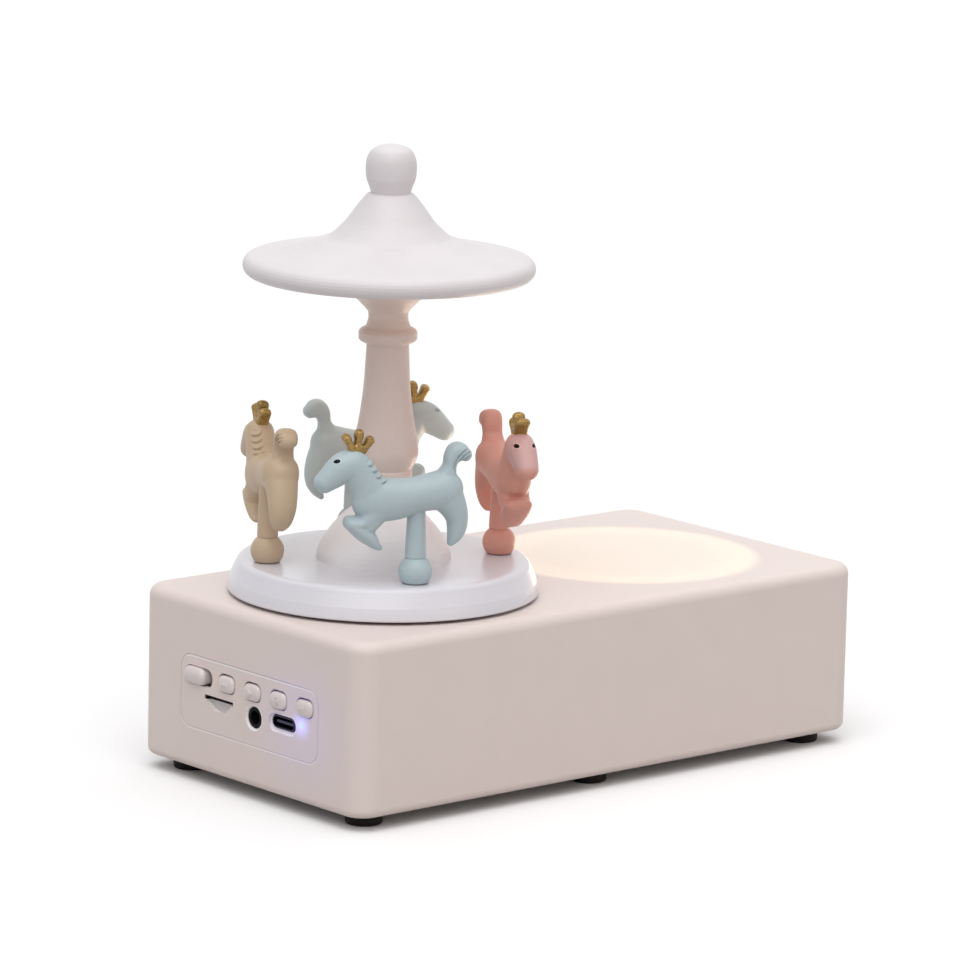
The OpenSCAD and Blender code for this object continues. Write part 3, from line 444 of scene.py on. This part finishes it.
# Drive: a plated motor under a steel plate, moulded acetal gears, a brass
# pinion, and a turned steel shaft in its flanged bush.
acetal = satin("acetal", (0.78, 0.76, 0.7), 0.42, mottle=0.02, grain_depth=0.1)
pinion_brass = metal("pinion_brass", (0.72, 0.5, 0.2), 0.3)
clip_steel = metal("clip_steel", (0.2, 0.2, 0.22), 0.4)
wear(drawn_steel, "motor_can", "gear_plate", "idler_pin", "drive_shaft", "motor_shaft")
wear(acetal, "drive_gear", "idler_gear", "turntable_bush", "thrust_washer")
wear(pinion_brass, "motor_pinion")
wear(clip_steel, "idler_clip", "shaft_clip")


# Turntable and centre dome: glossier white mouldings with a cool cast, the
# dome pressed onto the shaft in the middle of the turntable.
turntable_white = satin("turntable_white", (0.745, 0.735, 0.785), 0.3, mottle=0.01, grain_depth=0.08,
                        Coat_Weight=0.3, Coat_Roughness=0.18)
dome_white = satin("dome_white", (0.91, 0.885, 0.9), 0.4, mottle=0.015, grain_depth=0.1)
wear(turntable_white, "turntable")
wear(dome_white, "centre_dome")


# Pillar, canopy and its knob: satin white mouldings, round about the shaft's
# axis and pushed together on pegs.
pillar_white = satin("pillar_white", (0.82, 0.69, 0.635), 0.42, mottle=0.02, grain_depth=0.12)
canopy_white = satin("canopy_white", (0.76, 0.725, 0.74), 0.45, mottle=0.015, grain_depth=0.15)
wear(pillar_white, "pillar", "canopy_underplate")
wear(canopy_white, "canopy", "finial")


# Horses: cast resin, sprayed in one soft matt colour each, with painted shade
# in the hollows, a painted sheen on the pink one's face, and a dark line at
# each post's foot just above the deck. A section has its middle, half height
# and half width: x, z, h, w in mm.
HEAD = [(24.0, 26.5, 2.7, 3.0), (21.8, 28.2, 3.35, 3.35), (19.3, 30.0, 3.95, 3.7), (16.6, 31.0, 4.0, 3.8)]
NECK = [(16.6, 31.0, 4.0, 3.8), (14.9, 28.5, 4.2, 3.8), (13.3, 25.8, 4.4, 3.9), (11.2, 22.0, 5.7, 4.4)]
TRUNK = [(11.2, 21.6, 5.75, 4.6), (5.2, 21.8, 5.3, 4.7), (1.0, 22.5, 4.6, 4.5), (-3.0, 23.2, 4.7, 4.6),
         (-6.8, 23.7, 5.2, 4.8)]
TAIL = [(-7.3, 26.2, 3.3, 3.3), (-8.3, 29.5, 1.7, 2.65), (-8.9, 31.8, 2.0, 2.7),
        (-10.0, 33.3, 2.4, 2.85), (-11.3, 33.1, 2.35, 2.8), (-12.3, 32.6, 1.75, 2.6)]
HIND_LEGS = [(-7.5, 22.4, 4.6, 4.4), (-9.5, 19.2, 3.55, 4.0), (-10.6, 16.2, 2.8, 3.7),
             (-10.5, 13.6, 2.4, 3.3), (-9.8, 11.4, 1.65, 2.7), (-8.95, 10.0, 0.8, 1.9)]
FORE_ARMS = [(10.9, 19.2, 4.2, 4.2), (14.1, 16.1, 2.15, 3.9), (17.2, 16.1, 1.7, 3.6)]
FORE_SHANKS = [(17.2, 15.9, 1.7, 3.6), (14.7, 14.1, 2.2, 3.7), (12.4, 12.2, 2.1, 3.5),
               (10.7, 10.3, 1.3, 3.0), (9.6, 9.55, 0.75, 2.5)]
KNEE_FILL = [(11.3, 18.2, 3.6, 3.9), (13.2, 15.0, 2.6, 3.7)]
BODY_SQUARE, TAIL_SQUARE = 2.15, 2.7
SKIN_VOXEL, SKIN_ROUNDS = 0.3 * MM, 4
# Where the rings of a limb's round ends lie, in degrees from its last section.
TIP_ANGLES = (22, 44, 64, 80)


def along(stations, t):
    """Section values at t along a chain, on a smooth curve through them."""
    last = len(stations) - 1
    i = min(int(t), last - 1)
    f = t - i
    a, b, c, d = (stations[min(max(i + k, 0), last)] for k in (-1, 0, 1, 2))
    return [0.5 * (2 * q + (r - p) * f + (2 * p - 5 * q + 4 * r - s) * f ** 2
                   + (3 * q - p - 3 * r + s) * f ** 3)
            for p, q, r, s in zip(a, b, c, d)]


def add_limb(shape, stations, square, steps=8, around=28):
    """A chain of squarish ovals across its own path, with round ends."""
    count = (len(stations) - 1) * steps
    spine = [along(stations, k / steps) for k in range(count + 1)]
    rings = []
    for k, (x, z, half_height, half_width) in enumerate(spine):
        before, after = spine[max(k - 1, 0)], spine[min(k + 1, count)]
        heading = Vector((after[0] - before[0], 0, after[1] - before[1])).normalized()
        across = Vector((heading.z, 0, -heading.x))
        tips = [(math.sin(math.radians(angle)), math.cos(math.radians(angle))) for angle in TIP_ANGLES]
        ends = [(0, 1)]
        if k == 0:
            ends = [(-forth, size) for forth, size in reversed(tips)] + ends
        elif k == count:
            ends = ends + tips
        for forth, size in ends:
            centre = Vector((x, 0, z)) + heading * forth * half_height
            ring = []
            for n in range(around):
                turn = 2 * math.pi * n / around
                c, s = math.cos(turn), math.sin(turn)
                c = math.copysign(abs(c) ** (2 / square), c)
                s = math.copysign(abs(s) ** (2 / square), s)
                aside = across * half_height * c + Vector((0, half_width * s, 0))
                ring.append((centre + size * aside) * MM)
            rings.append(ring)
    add_skin(shape, rings)


def merged(shape, voxel, rounds):
    """One closed skin over overlapping solids, with the joins softened."""
    carrier = bpy.data.objects.new("carrier", mesh_of(shape))
    bpy.context.scene.collection.objects.link(carrier)
    remesh = carrier.modifiers.new("skin", "REMESH")
    remesh.mode, remesh.voxel_size, remesh.adaptivity = "VOXEL", voxel, 0.0
    soften = carrier.modifiers.new("soften", "SMOOTH")
    soften.factor, soften.iterations = 0.5, rounds
    bpy.context.view_layer.update()
    skin = bpy.data.meshes.new_from_object(carrier.evaluated_get(bpy.context.evaluated_depsgraph_get()))
    bpy.data.objects.remove(carrier)
    return skin


shape = bmesh.new()
for stations in (HEAD, NECK, TRUNK, HIND_LEGS, FORE_ARMS, FORE_SHANKS, KNEE_FILL):
    add_limb(shape, stations, BODY_SQUARE)
add_limb(shape, TAIL, TAIL_SQUARE)
horse_skin = merged(shape, SKIN_VOXEL, SKIN_ROUNDS)

# Mane: four overlapping tufts on the outer side of the neck's ridge. Tail:
# three curved hair lines on the outer side of its end. Lengths are in mm.
MANE_TOP, MANE_LOW = Vector((13.2, 0, 32.4)), Vector((8.3, 0, 26.7))
MANE_REACH = 2.4
MANE_MIDDLE, MANE_HALF = 1.8, 1.4
MANE_RISE, MANE_CREASE = 0.7, 0.22
TUFTS, TUFT_END, TUFT_BOW = 4, 0.88, 0.5
CURL = Vector((-14.4, 0, 29.2))
HAIR_LOW, HAIR_FRONT = 29.2, -8.4
HAIR_INNER, HAIR_FIRST, HAIR_STEP, HAIR_OUTER = 3.2, 3.6, 0.9, 5.76
HAIR_DEPTH, HAIR_SHARP, HAIR_SIDE = 0.6, 1.5, 1.4

ridge = MANE_LOW - MANE_TOP
for vertex in horse_skin.vertices:
    point = vertex.co / MM
    flat = Vector((point.x, 0, point.z))
    t = (flat - MANE_TOP).dot(ridge) / ridge.length_squared
    off = (flat - MANE_TOP - ridge * t).length
    side = (point.y - MANE_MIDDLE) / MANE_HALF
    if 0 < t < 1 and off < MANE_REACH and abs(side) < 1:
        tuft = (t * TUFTS + TUFT_BOW * side * side) % 1
        rise = MANE_RISE * tuft - MANE_CREASE if tuft < TUFT_END else -MANE_CREASE
        vertex.co += vertex.normal * rise * (1 - side ** 4) * MM
    arc = (flat - CURL).length
    if point.z > HAIR_LOW and point.x < HAIR_FRONT and HAIR_INNER < arc < HAIR_OUTER:
        groove = max(math.cos(2 * math.pi * (arc - HAIR_FIRST) / HAIR_STEP), 0) ** HAIR_SHARP
        outward = max(min(HAIR_SIDE * vertex.normal.y, 1), 0)
        vertex.co -= vertex.normal * HAIR_DEPTH * groove * outward * MM
horse_skin.update()
horse_tree = BVHTree.FromPolygons([v.co for v in horse_skin.vertices],
                                  [p.vertices for p in horse_skin.polygons])

# The left horse leans in, a little nose down on its post.
SADDLE_Z = 22.7 * MM
LEAN, NOD = {"left": 3.4}, {"left": 4.0}
hub = middle("turntable")
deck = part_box("turntable")[1].z


def horse_place(side):
    """Where a horse stands: its own x forward, y to its left, z up."""
    foot = middle("post_" + side)
    foot.z = deck
    out = Vector((foot.x - hub.x, foot.y - hub.y, 0)).normalized()
    stand = Matrix(((out.y, out.x, 0, foot.x), (-out.x, out.y, 0, foot.y), (0, 0, 1, foot.z), (0, 0, 0, 1)))
    lean = Matrix.Rotation(math.radians(LEAN.get(side, 0)), 4, "X")
    nod = Matrix.Rotation(math.radians(NOD.get(side, 0)), 4, "Y")
    saddle = Matrix.Translation((0, 0, SADDLE_Z))
    return stand @ lean @ saddle @ nod @ saddle.inverted()


def carousel_piece(name, mesh, place, material):
    """A copy of a mesh, set in its place on the carousel."""
    own = mesh.copy()
    own.transform(place)
    return add_piece(name, own, "carousel", material)


HORSES = {
    "front": ("sky_blue", (0.465, 0.57, 0.605)),
    "right": ("salmon_pink", (0.69, 0.325, 0.255)),
    "back": ("mist_grey", (0.56, 0.635, 0.635)),
    "left": ("cream", (0.58, 0.44, 0.3)),
}
HOLLOW, HOLLOW_SHADE = (0.4, 0.49), 0.6
FOOT_LINE_DARK, FOOT_LINE_HEIGHTS = (0.1, 0.06, 0.065), (0.1 * MM, 0.4 * MM)
FACE_SHEEN_PINK = (0.63, 0.38, 0.365)
FACE_AT, FACE_REACH = Vector((22.4, 0, 31.1)) * MM, (4.6 * MM, 7.0 * MM)
for side, (slot, colour) in HORSES.items():
    paint, shader, at, coat = painted("paint_" + side, colour, 0.48, mottle=0.035, grain_mm=0.35,
                                      grain_depth=0.2)
    place = horse_place(side)
    # A dark line at each post's foot: the paint is darker just above the deck.
    coat = (at.axis("Z") - deck).ramp(*FOOT_LINE_HEIGHTS).mix(FOOT_LINE_DARK, coat)
    # Painted shade: the paint is darker in the hollows of the skin.
    open_skin = at.node("NewGeometry", output="Pointiness").ramp(*HOLLOW)
    coat = open_skin.mix([c * HOLLOW_SHADE for c in colour], coat)
    # Painted sheen: the pink horse's face is paler where light glances off it.
    if side == "right":
        coat = at.far_from(place @ FACE_AT).ramp(*FACE_REACH).mix(FACE_SHEEN_PINK, coat)
    coat.feed(shader.inputs["Base Color"])
    horse = carousel_piece("horse_body_" + side, horse_skin, place, paint)
    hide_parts("horse_" + side)
    wear(paint, "post_" + side)


# Eyes: glossy black ovals that wrap around the corner of the brow, each
# sprayed over a thin paler edge. The back horse's edges are left in its own
# grey, and its eyes are that grey darkened: painted shade, as of a shallow dent.
EYE_AT, EYE_TILT = Vector((21.1, 1.85, 31.9)) * MM, math.radians(-12)
EYE_LONG, EYE_TALL, EYE_RISE = 1.0 * MM, 0.62 * MM, 0.14 * MM
RIM_OVER, RIM_RISE = 0.17 * MM, 0.05 * MM
RIM_GAIN, RIM_ADDED, GREY_SHADE = 1.3, 0.12, 0.6
SKIN_LIFT = 0.03 * MM
EYE_POINTS = 28
EYE_PROFILE = ((1.0, -0.12), (1.0, 0.0), (0.92, 0.5), (0.7, 0.85), (0.35, 0.97), (0.05, 1.0))
eye_black = satin("eye_black", (0.004, 0.004, 0.006), 0.35, mottle=0.1, grain_depth=0.0,
                  Specular_IOR_Level=0.12)


def oval_on_skin(shape, spot, half_long, half_tall, rise, tilt):
    """A low domed oval about a spot, which follows the horse's skin."""
    centre, out, *_ = horse_tree.find_nearest(spot)
    long_way = out.cross(Vector((0, 0, 1))).normalized()
    tall_way = long_way.cross(out).normalized()
    rings = []
    for size, height in EYE_PROFILE:
        ring = []
        for turn in [2 * math.pi * n / EYE_POINTS for n in range(EYE_POINTS)]:
            a, b = size * half_long * math.cos(turn), size * half_tall * math.sin(turn)
            aside = long_way * (a * math.cos(tilt) - b * math.sin(tilt))
            above = tall_way * (a * math.sin(tilt) + b * math.cos(tilt))
            point, normal, *_ = horse_tree.find_nearest(centre + aside + above)
            ring.append(point + normal * (height * rise + SKIN_LIFT))
        rings.append(ring)
    add_skin(shape, rings)


for side, (slot, colour) in HORSES.items():
    place = horse_place(side)
    rim_colour = [min(c * RIM_GAIN + RIM_ADDED, 1) for c in colour]
    pupil, pupil_slot = eye_black, "black_plastic"
    # Painted shade: the back horse's eyes are its grey darkened, as of a shallow dent.
    if side == "back":
        rim_colour = colour
        pupil, pupil_slot = satin("eye_grey", [c * GREY_SHADE for c in colour], 0.5), slot
    eye_rim = satin("eye_rim_" + side, rim_colour, 0.5, mottle=0.02)
    pupils, rims = bmesh.new(), bmesh.new()
    for s in (-1, 1):
        spot = Vector((EYE_AT.x, s * EYE_AT.y, EYE_AT.z))
        oval_on_skin(rims, spot, EYE_LONG + RIM_OVER, EYE_TALL + RIM_OVER, RIM_RISE, s * EYE_TILT)
        oval_on_skin(pupils, spot, EYE_LONG, EYE_TALL, EYE_RISE, s * EYE_TILT)
    carousel_piece("eyes_" + side, mesh_of(pupils), place, pupil)
    carousel_piece("eye_rims_" + side, mesh_of(rims), place, eye_rim)


# Crowns: cast in three broad fingers that fan forward and back, and brushed
# with antique gold that stays dark in the hollows.
CROWN_AT, CROWN_TILT = Vector((15.7, 0, 33.7)) * MM, math.radians(-6)
CROWN_FOOT = [(-1.15, 1.05, 1.3, 1.7), (0.0, 1.2, 1.35, 1.75), (1.25, 1.05, 1.3, 1.8)]
FRONT_FINGER = [(1.3, 0.9, 1.05, 1.8), (2.2, 2.1, 0.85, 1.85), (3.3, 3.8, 1.05, 2.1)]
MIDDLE_FINGER = [(0.1, 0.8, 1.2, 1.6), (0.1, 3.2, 0.95, 1.4), (0.1, 4.5, 1.2, 1.6), (0.1, 5.1, 1.15, 1.65)]
REAR_FINGER = [(-1.3, 0.9, 1.05, 1.6), (-2.0, 2.0, 0.9, 1.6), (-2.85, 3.6, 1.15, 1.7)]
CROWN_SQUARE, CROWN_VOXEL, CROWN_ROUNDS = 3.2, 0.14 * MM, 3
OLD_GOLD, OLD_BROWN = (0.37, 0.235, 0.07), (0.09, 0.045, 0.012)
SPECK_SCALE, SPECK_EDGES, SPECK_SHARE = 2600.0, (0.52, 0.66), 0.75
CROWN_HOLLOW = (0.43, 0.515)

shape = bmesh.new()
for stations in (CROWN_FOOT, FRONT_FINGER, MIDDLE_FINGER, REAR_FINGER):
    add_limb(shape, stations, CROWN_SQUARE)
crown_skin = merged(shape, CROWN_VOXEL, CROWN_ROUNDS)

gold, shader, place, clouded = painted("antique_gold", OLD_GOLD, 0.4, mottle=0.3, grain_mm=0.3,
                                       grain_depth=1.0, Metallic=0.5)
specks = place.node("TexNoise", None, {"Vector": place, "Scale": SPECK_SCALE}).ramp(*SPECK_EDGES)
brushed = (1 - specks * SPECK_SHARE) * place.node("NewGeometry", output="Pointiness").ramp(*CROWN_HOLLOW)
brushed.mix(OLD_BROWN, clouded).feed(shader.inputs["Base Color"])
crown_seat = Matrix.Translation(CROWN_AT) @ Matrix.Rotation(CROWN_TILT, 4, "Y")
for side in HORSES:
    crown = carousel_piece("crown_gold_" + side, crown_skin, horse_place(side) @ crown_seat, gold)
    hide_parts("crown_" + side)


# Studio: a pale floor that keeps the shadow, a white surround, and soft light
# from above and all around. The camera and reflections see floor and surround
# as plain white, and only their light on the object has the tones below.
FLOOR_HALF = 3.0
FLOOR_PALE, SURROUND = (0.53, 0.51, 0.5), (0.34, 0.337, 0.345)
WHITE = (1, 1, 1)
# A sun's numbers: where it shines from, its strength over pi, its colour, and
# how wide it is, in degrees.
SUNS = {
    "key": ((-1.15, -1.05, 2.2), 0.4, (1.0, 1.0, 1.0), 60),
    "warm": ((0.5, -2.0, 0.6), 0.05, (1.0, 0.75, 0.55), 40),
    "overhead": ((0.2, 0.1, 2.0), 0.37, (1.0, 1.0, 1.0), 80),
}
LAMP_RISE, LAMP_WIDE = 2 * MM, 60 * MM
LAMP_WATTS, LAMP_COLOUR = 0.05, (1.0, 0.8, 0.6)

shape = bmesh.new()
bmesh.ops.create_grid(shape, x_segments=2, y_segments=2, size=FLOOR_HALF)
floor = bpy.data.objects.new("floor", mesh_of(shape))
bpy.context.scene.collection.objects.link(floor)
floor_pale = bpy.data.materials.new("floor_pale")
floor_pale.use_nodes = True
shader = floor_pale.node_tree.nodes["Principled BSDF"]
shader.inputs["Roughness"].default_value = 0.9
shader.inputs["Specular IOR Level"].default_value = 0.0
floor.data.materials.append(floor_pale)

world = bpy.data.worlds.new("studio")
bpy.context.scene.world = world
world.use_nodes = True
background = world.node_tree.nodes["Background"]
for tree, socket, tone in ((floor_pale.node_tree, shader.inputs["Base Color"], FLOOR_PALE),
                           (world.node_tree, background.inputs["Color"], SURROUND)):
    camera_ray, glossy_ray, clear_ray = (Link(tree).node("LightPath", output="Is %s Ray" % kind)
                                         for kind in ("Camera", "Glossy", "Transmission"))
    (camera_ray + glossy_ray + clear_ray).mix(tone, WHITE).feed(socket)


def lamp(name, kind, at, aim, energy, colour, **settings):
    """A lamp that shines from one spot towards another."""
    light = bpy.data.lights.new(name, kind)
    light.energy, light.color = energy, colour
    for setting, value in settings.items():
        setattr(light, setting, value)
    holder = bpy.data.objects.new(name, light)
    holder.location = at
    holder.rotation_euler = (Vector(aim) - Vector(at)).to_track_quat("-Z", "Y").to_euler()
    bpy.context.scene.collection.objects.link(holder)


for name, (at, strength, colour, width) in SUNS.items():
    lamp(name, "SUN", at, (0, 0, 0), strength * math.pi, colour, angle=math.radians(width))
above_glow = GLOW_CENTRE + Vector((0, 0, LAMP_RISE))
lamp("glow", "AREA", above_glow, above_glow + Vector((0, 0, 1)), LAMP_WATTS, LAMP_COLOUR, shape="DISK",
     size=LAMP_WIDE)

bpy.context.scene.view_settings.view_transform = "Standard"
